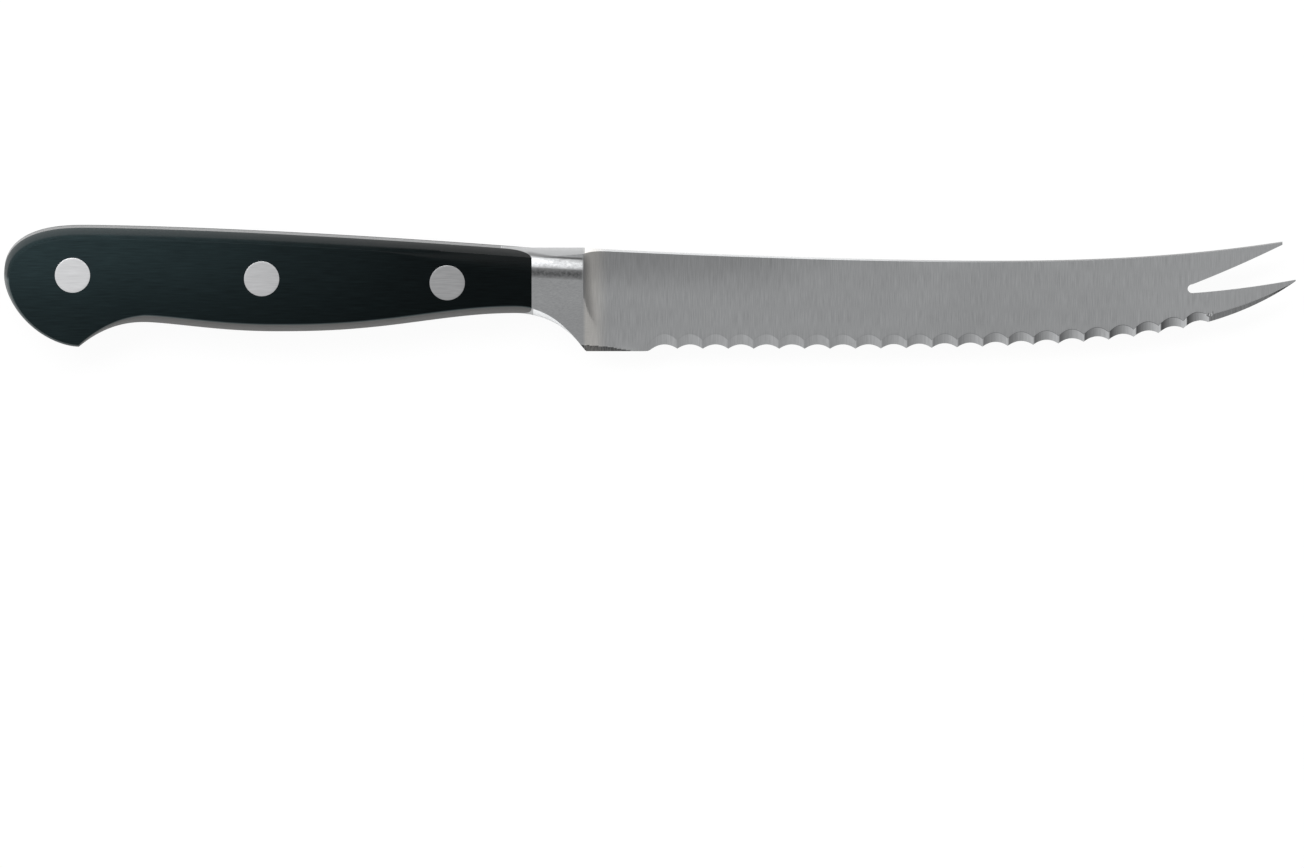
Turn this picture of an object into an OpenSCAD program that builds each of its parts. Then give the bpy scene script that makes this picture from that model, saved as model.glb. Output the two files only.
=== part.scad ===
// A tomato knife: one steel forging with a scalloped, fork-tipped blade, a bolster and a full tang,
// between two dark scales that three two-part rivets hold.
// The knife lies on its left cheek. X runs from the butt to the tip, Y towards the spine, Z up.

/* [Handle] */
// Length of the scales along the handle, from the butt to the back of the bolster
handle_length = 104.4; // [96:0.1:114]
// Thickness of the handle over both scales
handle_thickness = 14; // [12:0.1:17]
// Height of the butt's middle above the axis of the handle
butt_height = 1.1; // [-1:0.1:3]
// Distance of the crown, the highest point of the back, from the butt
crown_reach = 16; // [13:0.1:20]
// Height of the crown above the axis of the handle
crown_height = 10.8; // [9.5:0.1:13]
// Height of the top of the bolster above the axis of the handle
bolster_height = 6.25; // [5.5:0.1:7.5]
// Distance of the beak's point from the butt
beak_reach = 14.8; // [12:0.1:17]
// Depth of the beak's point below the axis of the handle
beak_depth = 12.9; // [11.5:0.1:13.5]
// Distance of the finger notch behind the beak from the butt
notch_reach = 27.8; // [24:0.1:32]
// Depth of the finger notch below the axis of the handle
notch_depth = 8.1; // [7.5:0.1:9.5]
// Distance of the belly of the grip from the butt
belly_reach = 54; // [46:0.1:62]
// Depth of the belly of the grip below the axis of the handle
belly_depth = 9.95; // [9:0.05:11]
// Depth of the neck of the grip below the axis of the handle
neck_depth = 6.3; // [5.5:0.1:7.5]

/* [Handle section] */
// Radius of the crowned back of the handle, seen from the end
back_radius = 24; // [18:0.5:40]
// Radius of the rounded belly of the handle, seen from the end
belly_radius = 11; // [9:0.5:20]
// Radius of the rounded butt, seen from above
butt_radius = 28; // [18:0.5:40]
// Depth over which a scale's cheek eases into its edges
ease_depth = 0.8; // [0.4:0.1:1.2]
// Width of the eased edge round a scale's cheek
ease_width = 0.5; // [0.3:0.1:1]

/* [Bolster] */
// Thickness of the tang between the scales
tang_thickness = 3; // [2.4:0.1:3.6]
// Distance from the back of the bolster to the start of the plunge
bolster_length = 10.2; // [8.5:0.1:12]
// Thickness that the bolster loses on each side over its length
bolster_taper = 2.5; // [1.5:0.1:3.2]
// Height of the rounded shoulder below the bolster's top edge
shoulder_height = 3.4; // [2.5:0.1:4.2]
// Length of the hollow plunge between the bolster and the blade
plunge_length = 5; // [3.5:0.1:7]
// Radius of the plunge line's lower curve, seen from the side
plunge_radius = 14.9; // [14:0.1:18]
// Height of the start of that curve above the axis of the handle
plunge_height = -1.2; // [-2.5:0.1:0.5]
// Radius of the finger guard under the bolster
guard_radius = 16.4; // [15:0.1:19]
// Distance from the neck of the grip to the back of the bolster
neck_setback = 3.3; // [2.5:0.1:4.5]
// Share of the bolster's thickness that is left at the heel
heel_share = 0.28; // [0.2:0.01:0.5]
// Height below which the bolster thins towards the heel
heel_fade_height = -3; // [-5:0.1:-1]
// Angle of the facet ground under the heel, from the blade's plane
heel_facet_angle = 42; // [35:1:55]

/* [Blade] */
// Length of the blade from the heel's corner to the lower point
blade_length = 140.5; // [125:0.1:155]
// Depth of the heel below the axis of the handle
heel_depth = 14.15; // [13.6:0.05:15]
// Thickness of the spine at the bolster
spine_thickness = 2.6; // [2.2:0.1:3.2]
// Thickness of the spine at the tip
tip_thickness = 1.3; // [1:0.1:1.8]
// Thickness of the edge before the scallops are ground
edge_thickness = 0.3; // [0.2:0.02:0.44]
// Distance from the start of the spine to its lowest point
spine_run = 79; // [65:1:90]
// Drop of the spine from the bolster to its lowest point
spine_drop = 2.45; // [2:0.05:3]
// Rise of the spine from its lowest point to the upper prong
spine_rise = 3.9; // [3:0.1:5]
// Distance from the heel's corner to the start of the edge's sweep
sweep_start = 48.5; // [40:0.5:60]
// Rise of the edge from the heel to the lower point
sweep_rise = 13.5; // [12.8:0.1:13.8]
// Part of that rise which is a gentle curve
gentle_rise = 3.9; // [3.4:0.1:5]

/* [Scallops] */
// Distance from the heel's corner to the first scallop's middle
scallop_start = 15.6; // [12:0.1:20]
// Distance between neighbouring scallops
scallop_pitch = 5.04; // [4.4:0.02:5.8]
// Distance from the last scallop's middle to the lower point
plain_length = 19.1; // [17.5:0.1:21]
// Height of a scallop's top above the line of the tooth points
scallop_depth = 0.8; // [0.6:0.02:1]
// Radius of the round wheel that grinds each scallop
scallop_radius = 12.8; // [11:0.1:15]
// Angle of the scallops' grind from the blade's plane
scallop_angle = 14; // [12:0.5:17]
// Height that is ground off the blank's edge at the tooth points
edge_stock = 0.5; // [0.3:0.05:0.7]
// Height of the plain bevel on the lower prong
bevel_height = 2.2; // [1.8:0.1:2.6]

/* [Fork] */
// Depth of the slot between the prongs, back from the lower point
slot_length = 21.4; // [18:0.1:22]
// Radius of the slot's root
slot_root_radius = 0.95; // [0.6:0.05:1.1]
// Height of the slot's root above the axis of the handle
slot_root_height = -1.65; // [-2.2:0.05:-1]
// Rise of the slot's upper edge from its root to the upper point
slot_upper_rise = 8.1; // [7.5:0.1:8.5]
// Sag of the slot's edges from straight lines
slot_sag = 0.3; // [0.1:0.05:0.5]
// Distance from the upper point back to the lower point
prong_offset = 2.6; // [1.5:0.1:4]
// Radius of the blunted upper point
point_radius = 0.35; // [0.25:0.05:0.5]
// Height of the lower point's slot side above the edge
point_height = 0.3; // [0.2:0.05:0.5]

/* [Rivets] */
// Distance of the butt rivet from the butt
butt_rivet_reach = 13.6; // [12:0.1:16]
// Distance of the middle rivet from the butt
middle_rivet_reach = 51; // [45:0.1:57]
// Distance of the front rivet from the butt
front_rivet_reach = 87.7; // [82:0.1:91]
// Height of the butt rivet above the axis of the handle
butt_rivet_height = 2.1; // [0:0.1:4]
// Height of the middle rivet above the axis of the handle
middle_rivet_height = 1.4; // [0:0.1:3]
// Height of the front rivet above the axis of the handle
front_rivet_height = 0.6; // [0:0.1:2]
// Diameter of a rivet's head
rivet_head_d = 7; // [6:0.1:8]
// Thickness of a rivet's head
rivet_head_t = 2.6; // [2:0.1:3.2]
// Outer diameter of a rivet's tube
rivet_tube_d = 4.8; // [4.4:0.1:5.2]
// Diameter of the solid stem that is driven into the tube
rivet_stem_d = 2.8; // [2.4:0.1:3.2]

/* [Fits] */
// Gap between a scale's front end and the bolster's fillet
scale_gap = 0.05; // [0.03:0.01:0.15]
// Clearance of a rivet all round in the scales
rivet_clearance = 0.02; // [0.01:0.01:0.05]
// Clearance of a rivet's tube all round in the tang
tang_clearance = 0.2; // [0.1:0.05:0.3]
// Clearance of the rivet's stem all round in its tube
stem_clearance = 0.02; // [0.01:0.01:0.05]
// Gap between the end of a rivet's tube or stem and the head that it meets
rivet_end_gap = 0.3; // [0.2:0.05:0.6]

/* [Hidden] */
$fn = 96;
steel = "silver";
scale_black = "#222a2c";
rivet_steel = "#d6d8dc";

// The handle's landmarks. Y is 0 on the axis of the handle and Z is 0 in the middle of the tang.
cheek = handle_thickness / 2;
tang = tang_thickness / 2;
fillet_radius = cheek - tang;
bolster_back = handle_length;
fillet_start = bolster_back - fillet_radius;
neck_reach = bolster_back - neck_setback;
ease_start = cheek - ease_depth;
back_power = 1.5;
crown_power = 2.5;
butt_power = 1.75;
beak_power = 2.2;
notch_power = 0.75;
belly_power = 1.25;
spine_power = 1.6;
shoulder_start = 0.68 * handle_length;

// The blade's landmarks.
plunge_start = bolster_back + bolster_length;
plunge_end = plunge_start + plunge_length;
guard_drop = heel_depth - neck_depth;
heel_reach = neck_reach + sqrt(pow(guard_radius, 2) - pow(guard_radius - guard_drop, 2));
tip_reach = heel_reach + blade_length;
spine_low = plunge_start + spine_run;
upper_point = tip_reach - prong_offset;
edge_low = edge_stock - heel_depth;
sweep_reach = heel_reach + sweep_start;
sweep_power = 6;
rise_power = 2.4;
first_scallop = heel_reach + scallop_start;
scallop_steps = round((tip_reach - plain_length - first_scallop) / scallop_pitch);
last_scallop = first_scallop + scallop_steps * scallop_pitch;
half_edge = edge_thickness / 2;
bevel_land = 0.05;

// The origin is under the middle of the knife's box, on the surface that the left cheek lies on.
origin_x = tip_reach / 2;
origin_y = (crown_height - heel_depth) / 2;

// A smooth step from 0 to 1.
function ramp(u) = let(v = min(1, max(0, u))) v * v * (3 - 2 * v);

// A wave from one turning point of the outline to the next, skewed by a power.
function half_wave(u, power) = (1 - cos(180 * pow(min(1, max(0, u)), power))) / 2;

// One side of a superellipse, 0 at its end and 1 at its middle.
function bulge(u, power) = pow(max(0, 1 - pow(1 - min(1, max(0, u)), power)), 1 / power);

// Height of the handle's back over x, before the section's insets.
function back_line(x) = x < crown_reach
    ? butt_height + (crown_height - butt_height) * bulge(x / crown_reach, crown_power)
    : crown_height - (crown_height - bolster_height)
        * pow(min(1, (x - crown_reach) / (bolster_back - crown_reach)), back_power);

// Depth of the finger guard's arc below the neck.
function guard_arc(x) = guard_radius - sqrt(pow(guard_radius, 2) - pow(x - neck_reach, 2));

// Height of the handle's underside over x, before the section's insets.
function under_line(x) =
    x < beak_reach ? butt_height - (beak_depth + butt_height) * bulge(x / beak_reach, butt_power)
    : x < notch_reach
    ? -notch_depth - (beak_depth - notch_depth)
        * pow((notch_reach - x) / (notch_reach - beak_reach), beak_power)
    : x < belly_reach
    ? -notch_depth - (belly_depth - notch_depth)
        * half_wave((x - notch_reach) / (belly_reach - notch_reach), notch_power)
    : x < neck_reach
    ? -belly_depth + (belly_depth - neck_depth)
        * half_wave((x - belly_reach) / (neck_reach - belly_reach), belly_power)
    : -neck_depth - guard_arc(x);

// Inset of a crowned face at height z from the tang's face.
function crowned(z, radius) = max(0, z * z - tang * tang) / (2 * radius);

// Share of an eased edge's width that is used up at height z.
function eased(z) = z <= ease_start ? 0 : 1 - sqrt(max(0, cheek - z) / ease_depth);

// Width of the eased edge along the back, which widens into the bolster's shoulder.
function back_ease(x) = ease_width + (shoulder_height - ease_width)
    * ramp((x - shoulder_start) / (bolster_back - shoulder_start));

// Insets of the back, the belly and the butt at height z.
function back_inset(x, z) = crowned(z, back_radius) + eased(z) * back_ease(x);
function belly_inset(z) = crowned(z, belly_radius) + eased(z) * ease_width;
function butt_inset(z) = crowned(z, butt_radius) + eased(z) * ease_width;

// The fillet between the tang and the back of the bolster, and the scale's front end that fits it.
function fillet_x(z) = fillet_start + sqrt(max(0, pow(fillet_radius, 2) - pow(cheek - z, 2)));
function fillet_z(x) = x <= fillet_start ? tang
    : cheek - sqrt(max(0, pow(fillet_radius, 2) - pow(min(x, bolster_back) - fillet_start, 2)));

// Levels of the scale's section above the middle of the tang, close together where it curves most.
fillet_steps = 7;
ease_steps = 4;
fillet_levels = [for (i = [0:fillet_steps])
    cheek - fillet_radius * cos(i / fillet_steps * acos(ease_depth / fillet_radius))];
ease_levels = [for (i = [1:ease_steps]) cheek - ease_depth * pow(1 - i / ease_steps, 2)];
levels = concat(fillet_levels, ease_levels);

// The blade's edge: the line of the tooth points, which sweeps up to the lower point.
function edge_line(x) = let(u = max(0, (x - sweep_reach) / (tip_reach - sweep_reach)))
    edge_low + gentle_rise * u * u + (sweep_rise - gentle_rise) * pow(u, sweep_power);

// The blank's lower edge, which the scallops are ground from.
function blank_edge(x) = edge_line(x) - (x < last_scallop ? edge_stock : 0);

// The blade's spine, hollow between the bolster and the upper prong.
function spine_line(x) = x < spine_low
    ? bolster_height - spine_drop * (1 - pow(min(1, (spine_low - x) / spine_run), spine_power))
    : bolster_height - spine_drop + spine_rise * pow((x - spine_low) / (upper_point - spine_low), rise_power);

// Upper and lower outline of the whole forging.
function forging_top(x) = x < bolster_back ? back_line(x) : spine_line(max(x, plunge_start));
guard_clear = 1;
guard_ramp = 3;
function forging_bottom(x) = x < neck_reach - guard_clear ? under_line(x)
    : max(blank_edge(x), under_line(neck_reach - guard_clear)
        - (x - neck_reach + guard_clear) * guard_drop / guard_ramp);

// Half of the blade's thickness at a place on its side: a straight taper from spine to edge.
function blade_z(x, y) =
    let(u = min(1, max(0, (x - plunge_start) / (tip_reach - plunge_start))))
    let(spine = spine_thickness / 2 + (tip_thickness - spine_thickness) / 2 * u)
    let(low = blank_edge(max(x, plunge_start)))
    let(high = spine_line(max(x, plunge_start)))
    half_edge + (spine - half_edge) * min(1, max(0, (y - low) / (high - low)));

// Offset of the plunge line from the bolster's end: it curves forwards below its middle.
function plunge_curve(y) = y > plunge_height ? 0
    : plunge_radius - sqrt(pow(plunge_radius, 2) - pow(y - plunge_height, 2));

// Share of that offset which a section at x takes.
plunge_run_out = 16;
function plunge_lean(x) = x < plunge_start ? ramp((x - bolster_back) / bolster_length)
    : 1 - ramp((x - plunge_end) / plunge_run_out);

// Half of the bolster's thickness: it tapers forwards, thins towards the heel and hollows out.
function bolster_z(x, x_plunge, y) =
    let(flank = cheek - bolster_taper * (x - bolster_back) / bolster_length)
    let(down = ramp((heel_fade_height - y) / (heel_fade_height + heel_depth)))
    let(share = 1 - (1 - heel_share) * down * ramp((x - bolster_back) / bolster_length))
    let(hollow = pow(1 - min(1, max(0, (x_plunge - plunge_start) / plunge_length)), 2))
    max(0, flank - blade_z(x, y)) * share * hollow;

// Half of the forging's thickness. The value under_top is the distance below the top edge.
function forging_z(x, x_plunge, y, under_top) =
    let(shoulder = pow(max(0, 1 - under_top / shoulder_height), 2) * ease_depth)
    x < bolster_back ? min(fillet_z(x), cheek - shoulder)
    : let(bulk = bolster_z(x, x_plunge, y))
    blade_z(x, y) + bulk * (1 - shoulder / cheek);

// One section of the forging at x, as a ring of points: up the right side and down the left side.
side_rows = 5;
shoulder_rows = 4;
function row_height(x, row, top_edge) =
    let(low = forging_bottom(x))
    let(bevel_top = low + min(bevel_height, (top_edge - low) / 4))
    let(shoulder = min(shoulder_height, (top_edge - low) / 3))
    let(shoulder_low = top_edge - shoulder)
    row == 0 ? low
    : row <= side_rows ? bevel_top + (shoulder_low - bevel_top) * (row - 1) / (side_rows - 1)
    : shoulder_low + shoulder * (row - side_rows) / shoulder_rows;

function right_edge_z(x, z) = x < last_scallop ? z : bevel_land - z;

function forging_ring(x) =
    let(top = forging_top(x))
    let(top_z = forging_z(x, x, top, 0))
    let(top_edge = top - crowned(top_z, back_radius))
    let(points = [for (row = [0:rows])
        let(y = row_height(x, row, top_edge))
        let(place = x + plunge_curve(y) * plunge_lean(x))
        let(z = forging_z(place, x, y, top_edge - y))
        [place, y, z]])
    concat(
        [for (row = [0:rows]) let(p = points[row])
            [p[0], p[1], row == 0 ? right_edge_z(x, p[2]) : p[2]]],
        [[x, top, min(tang, top_z) / 2], [x, top, -min(tang, top_z) / 2]],
        [for (row = [rows:-1:0]) let(p = points[row]) [p[0], p[1], -p[2]]]);

// Places of the sections, closer together where the outline or the thickness curves.
butt_end = 0.02;
function spread(from, to, count, power = 1) =
    [for (i = [0:count - 1]) from + (to - from) * pow(i / count, power)];
stations = concat(
    spread(butt_end, beak_reach, 10, 2),
    spread(beak_reach, notch_reach, 6),
    spread(notch_reach, fillet_start, 17),
    [for (z = fillet_levels) fillet_x(z)],
    spread(bolster_back, plunge_start, 4, 1),
    spread(plunge_start, plunge_end, 5),
    spread(plunge_end, plunge_end + plunge_run_out, 5),
    spread(plunge_end + plunge_run_out, sweep_reach, 3),
    spread(sweep_reach, last_scallop - 0.5, 14),
    spread(last_scallop - 0.5, last_scallop + 0.5, 1),
    spread(last_scallop + 0.5, tip_reach, 9),
    [tip_reach]);

// A closed loft through rings of points with as many points each. The faces that close a ring are
// given as lists of its points, in the ring's own order.
module loft(rings, cap) {
    count = len(rings[0]);
    last = len(rings) - 1;
    points = [for (ring = rings) for (p = ring) p];
    sides = [for (i = [0:last - 1]) for (j = [0:count - 1])
        let(a = i * count + j, b = i * count + (j + 1) % count)
        each [[a, b, b + count], [a, b + count, a + count]]];
    first_cap = [for (face = cap) [for (i = [len(face) - 1:-1:0]) face[i]]];
    last_cap = [for (face = cap) [for (j = face) last * count + j]];
    polyhedron(points, concat(first_cap, sides, last_cap), convexity = 10);
}

// Faces that close a section of the forging: a strip from its right side to its left side.
rows = side_rows + shoulder_rows;
left_low = 2 * rows + 3;
section_cap = concat(
    [for (i = [0:rows - 2]) each [[i, i + 1, left_low - i - 1], [i, left_low - i - 1, left_low - i]]],
    [for (j = [rows:rows + 3]) [rows - 1, j, j + 1]]);

// The whole forging before its guard, heel, scallops, slot and bores are cut.
module forging_blank() {
    loft([for (x = stations) forging_ring(x)], section_cap);
}

// The wheel that grinds the finger guard, with a hollow rim that leaves the underside rounded.
module guard_wheel() {
    reach = 2;
    rim = concat([[guard_radius + belly_inset(cheek), cheek + reach]],
        [for (i = [len(levels) - 1:-1:0]) [guard_radius + belly_inset(levels[i]), levels[i]]]);
    under = [for (i = [len(rim) - 1:-1:0]) [rim[i][0], -rim[i][1]]];
    translate([neck_reach, -neck_depth - guard_radius, 0])
        rotate_extrude()
            polygon(concat([[0, cheek + reach]], rim, under, [[0, -cheek - reach]]));
}

// The stock that is ground off under the heel on the right side.
module heel_facet() {
    start = bolster_back + bolster_taper;
    reach = 12;
    translate([start, -heel_depth, half_edge])
        rotate([heel_facet_angle, 0, 0])
            translate([0, -reach / 2, 0])
                cube([first_scallop - start, reach, reach]);
}

// The scallops: a round wheel runs up the blade at a shallow angle, once for each of them, and
// breaks out of its left face. All its runs are parallel, so they are one row of circles, drawn out.
module scallops() {
    run = 60;
    rotate([90 + scallop_angle, 0, 0])
        linear_extrude(height = run, center = true)
            for (i = [0:scallop_steps])
                let(x = first_scallop + i * scallop_pitch)
                let(y = edge_line(x) + scallop_depth)
                translate([x, scallop_radius - y * sin(scallop_angle) - blade_z(x, y) * cos(scallop_angle)])
                    circle(r = scallop_radius);
}

// The slot between the prongs, whose edges curve a little upwards.
module slot() {
    root_x = tip_reach - slot_length + slot_root_radius;
    beyond = tip_reach + 2;
    steps = 8;
    lower_end = edge_line(tip_reach) + point_height;
    upper_y = slot_root_height + slot_root_radius;
    lower_y = slot_root_height - slot_root_radius;
    upper_slope = (slot_upper_rise) / (upper_point - root_x);
    lower_slope = (lower_end - lower_y) / (tip_reach - root_x);
    function edge_y(x, start, slope) = let(u = (x - root_x) / (tip_reach - root_x))
        start + slope * (x - root_x) - 4 * slot_sag * u * (1 - u);
    places = [for (i = [0:steps]) root_x + (beyond - root_x) * i / steps];
    translate([root_x, slot_root_height, 0])
        cylinder(r = slot_root_radius, h = handle_thickness, center = true);
    linear_extrude(height = handle_thickness, center = true)
        polygon(concat(
            [for (x = places) [x, edge_y(x, lower_y, lower_slope)]],
            [for (i = [steps:-1:0]) [places[i], edge_y(places[i], upper_y, upper_slope)]]));
}

// The stock in front of the upper prong, which ends in a blunt point.
module prong_end() {
    centre_x = upper_point - point_radius;
    centre_y = spine_line(upper_point) - point_radius;
    reach = 6;
    difference() {
        translate([centre_x, centre_y - point_radius, -cheek])
            cube([reach + prong_offset, reach, handle_thickness]);
        translate([centre_x, centre_y, 0])
            cylinder(r = point_radius, h = handle_thickness + 2, center = true);
    }
}

// Places of the three rivets.
butt_rivet = [butt_rivet_reach, butt_rivet_height, 0];
middle_rivet = [middle_rivet_reach, middle_rivet_height, 0];
front_rivet = [front_rivet_reach, front_rivet_height, 0];
rivets = [butt_rivet, middle_rivet, front_rivet];

// Puts the handle's frame into the part's frame.
module placed() {
    translate([-origin_x, -origin_y, cheek]) children();
}

module blade() {
    color(steel) placed() difference() {
        forging_blank();
        guard_wheel();
        heel_facet();
        mirror([0, 0, 1]) heel_facet();
        scallops();
        slot();
        prong_end();
        for (place = rivets) translate(place)
            cylinder(d = rivet_tube_d + 2 * tang_clearance, h = 2 * cheek, center = true);
    }
}

// Outline of a scale at height z, from the front end along the back to the butt and underneath again.
belly_steps = 14;
notch_steps = 7;
guard_steps = 3;
back_steps = belly_steps + notch_steps + guard_steps;
quarter_steps = 10;
beak_steps = 6;
function scale_ring(z) =
    let(front = fillet_x(z) - scale_gap)
    let(butt = butt_inset(z))
    let(bottom = belly_inset(z))
    let(back = [for (i = [0:back_steps - 1])
        let(x = front + (crown_reach - front) * i / back_steps)
        [x, back_line(x) - back_inset(x, z), z]])
    let(crown = [for (i = [0:quarter_steps - 1])
        let(a = 90 * i / quarter_steps)
        let(across = pow(sin(a), 2 / crown_power), up = pow(cos(a), 2 / crown_power))
        [crown_reach - (crown_reach - butt) * across,
         butt_height + (crown_height - back_inset(crown_reach, z) - butt_height) * up, z]])
    let(rump = [for (i = [0:quarter_steps])
        let(a = 90 * i / quarter_steps)
        let(across = pow(cos(a), 2 / butt_power), down = pow(sin(a), 2 / butt_power))
        [beak_reach - (beak_reach - butt) * across,
         butt_height - (beak_depth - butt + butt_height) * down, z]])
    let(beak = [for (i = [1:beak_steps])
        let(u = i / beak_steps)
        let(x = beak_reach + (notch_reach - beak_reach) * u)
        [x, under_line(x) + butt + (bottom - butt) * u, z]])
    let(notch = [for (i = [1:notch_steps])
        let(x = notch_reach + (belly_reach - notch_reach) * i / notch_steps)
        [x, under_line(x) + bottom, z]])
    let(belly = [for (i = [1:belly_steps])
        let(x = belly_reach + (fillet_start - belly_reach) * i / belly_steps)
        [x, under_line(x) + bottom, z]])
    let(guard = [for (i = [1:guard_steps])
        let(x = fillet_start + (front - fillet_start) * i / guard_steps)
        [x, under_line(x) + bottom, z]])
    concat(back, crown, rump, beak, notch, belly, guard);

// Faces that close a scale's outline: a strip from its back to its underside.
function outline_cap(count) = [for (i = [0:floor((count - 3) / 2)])
    each i + 1 == count - 2 - i ? [[i, i + 1, count - 1 - i]]
        : [[i, i + 1, count - 2 - i], [i, count - 2 - i, count - 1 - i]]];

// The right scale, bored and counterbored for the rivets.
module scale_body() {
    rings = [for (z = levels) scale_ring(z)];
    difference() {
        loft(rings, outline_cap(len(rings[0])));
        for (place = rivets) translate(place) {
            cylinder(d = rivet_tube_d + 2 * rivet_clearance, h = handle_thickness);
            translate([0, 0, cheek - rivet_head_t])
                cylinder(d = rivet_head_d + 2 * rivet_clearance, h = handle_thickness);
        }
    }
}

module right_scale() {
    color(scale_black) placed() scale_body();
}

module left_scale() {
    color(scale_black) placed() mirror([0, 0, 1]) scale_body();
}

// The half of a rivet with a solid stem, driven in from the right side.
module rivet_stem(place) {
    stem_length = handle_thickness - 2 * rivet_head_t - rivet_end_gap;
    color(rivet_steel) placed() translate(place) translate([0, 0, cheek]) mirror([0, 0, 1]) {
        cylinder(d = rivet_head_d, h = rivet_head_t);
        cylinder(d = rivet_stem_d, h = rivet_head_t + stem_length);
    }
}

// The half of a rivet with a tube, set in from the left side.
module rivet_tube(place) {
    tube_length = handle_thickness - 2 * rivet_head_t - rivet_end_gap;
    color(rivet_steel) placed() translate(place) translate([0, 0, -cheek]) difference() {
        union() {
            cylinder(d = rivet_head_d, h = rivet_head_t);
            cylinder(d = rivet_tube_d, h = rivet_head_t + tube_length);
        }
        translate([0, 0, rivet_head_t])
            cylinder(d = rivet_stem_d + 2 * stem_clearance, h = handle_thickness);
    }
}

blade();
right_scale();
left_scale();
rivet_stem(butt_rivet);  // butt_rivet_stem
rivet_tube(butt_rivet);  // butt_rivet_tube
rivet_stem(middle_rivet);  // middle_rivet_stem
rivet_tube(middle_rivet);  // middle_rivet_tube
rivet_stem(front_rivet);  // front_rivet_stem
rivet_tube(front_rivet);  // front_rivet_tube
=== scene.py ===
"""Dresses the frame of a tomato knife with smooth skins, materials and a stage."""

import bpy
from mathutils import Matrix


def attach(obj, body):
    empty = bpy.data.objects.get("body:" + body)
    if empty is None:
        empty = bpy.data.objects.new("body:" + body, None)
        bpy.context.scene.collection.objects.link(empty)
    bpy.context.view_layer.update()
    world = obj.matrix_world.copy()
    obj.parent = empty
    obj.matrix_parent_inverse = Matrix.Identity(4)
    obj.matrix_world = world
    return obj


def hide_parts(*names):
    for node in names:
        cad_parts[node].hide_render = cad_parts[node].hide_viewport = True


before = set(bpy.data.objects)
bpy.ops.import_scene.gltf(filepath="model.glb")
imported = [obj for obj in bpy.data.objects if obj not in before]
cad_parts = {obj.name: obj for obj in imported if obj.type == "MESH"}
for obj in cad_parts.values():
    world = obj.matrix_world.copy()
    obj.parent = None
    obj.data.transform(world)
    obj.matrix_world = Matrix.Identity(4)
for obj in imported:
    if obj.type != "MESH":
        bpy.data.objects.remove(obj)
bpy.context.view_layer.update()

import math

import bpy
import numpy as np
from bpy.props import FloatProperty, PointerProperty
from mathutils import Matrix, Vector

bl_info = {
    "name": "Tomato knife",
    "version": (1, 0, 0),
    "blender": (4, 5, 0),
    "location": "3D View > Sidebar > Knife",
    "description": "Builds the knife's smooth surfaces, its materials and its stage",
    "category": "Object",
}

# Sizes in millimetres, in the handle's own frame: X from the butt, Y from the handle's axis,
# Z from the middle of the tang.
MM = 0.001
CHEEK = 7.0
TANG = 1.5
FILLET = CHEEK - TANG
BOLSTER_BACK = 104.4
FILLET_START = BOLSTER_BACK - FILLET

# The handle's outline, and the powers that shape each stretch of it.
BUTT_Y = 1.1
CROWN_X, CROWN_Y, CROWN_POWER = 16.0, 10.8, 2.5
BOLSTER_TOP, BACK_POWER = 6.25, 1.5
BEAK_X, BEAK_Y, BEAK_POWER = 14.8, -12.9, 1.75
NOTCH_X, NOTCH_Y, NOTCH_POWER = 27.8, -8.1, 2.2
BELLY_X, BELLY_Y, BELLY_POWER = 54.0, -9.95, 0.75
NECK_X, NECK_Y, NECK_POWER = BOLSTER_BACK - 3.3, -6.3, 1.25
BACK_RADIUS, BELLY_RADIUS, BUTT_RADIUS = 24.0, 11.0, 28.0
EASE_DEPTH, EASE_WIDTH = 0.8, 0.5
SHOULDER, SHOULDER_START = 3.4, 0.68 * BOLSTER_BACK
SCALE_GAP = 0.05

# The bolster, its plunge, the guard and the heel.
BOLSTER_LENGTH, BOLSTER_TAPER = 10.2, 2.5
PLUNGE_START = BOLSTER_BACK + BOLSTER_LENGTH
PLUNGE_LENGTH = 5.0
PLUNGE_END = PLUNGE_START + PLUNGE_LENGTH
PLUNGE_RADIUS, PLUNGE_Y, PLUNGE_RUN = 14.9, -1.2, 16.0
HEEL_SHARE, HEEL_FADE_Y, HEEL_Y = 0.28, -3.0, -14.15
GUARD_RADIUS = 16.4
HEEL_X = NECK_X + math.sqrt(GUARD_RADIUS ** 2 - (GUARD_RADIUS + HEEL_Y - NECK_Y) ** 2)
FACET_SLOPE = math.tan(math.radians(42))

# The blade: its spine, its edge and the prongs.
TIP_X = HEEL_X + 140.5
UPPER_X = TIP_X - 2.6
SPINE_HALF, TIP_HALF, EDGE_HALF = 1.3, 0.65, 0.15
SPINE_FALL_LENGTH, SPINE_FALL, SPINE_FALL_POWER = 79, 2.45, 1.6
SPINE_RISE, SPINE_RISE_POWER = 3.9, 2.4
SPINE_LOW_X = PLUNGE_START + SPINE_FALL_LENGTH
EDGE_STOCK = 0.5
SWEEP_X, SWEEP_SQUARE, SWEEP_SIXTH = HEEL_X + 48.5, 3.9, 9.6
BEVEL, BEVEL_PAST = 2.2, 0.1
SLOT_X = TIP_X - 21.4
SLOT_R, SLOT_Y, SLOT_RISE, SLOT_HOLLOW = 0.95, -1.65, 8.1, 1.2
LOWER_TIP_RISE = 0.3

# The scallops, which a wheel grinds from the right side.
PITCH, SCALLOP_DEPTH, WHEEL = 5.04, 0.8, 12.8
GRIND = math.radians(14)
FIRST_SCALLOP = HEEL_X + 15.6
SCALLOPS = 1 + round((TIP_X - 19.1 - FIRST_SCALLOP) / PITCH)
LAST_SCALLOP = FIRST_SCALLOP + (SCALLOPS - 1) * PITCH
AWAY = 1e3

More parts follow.
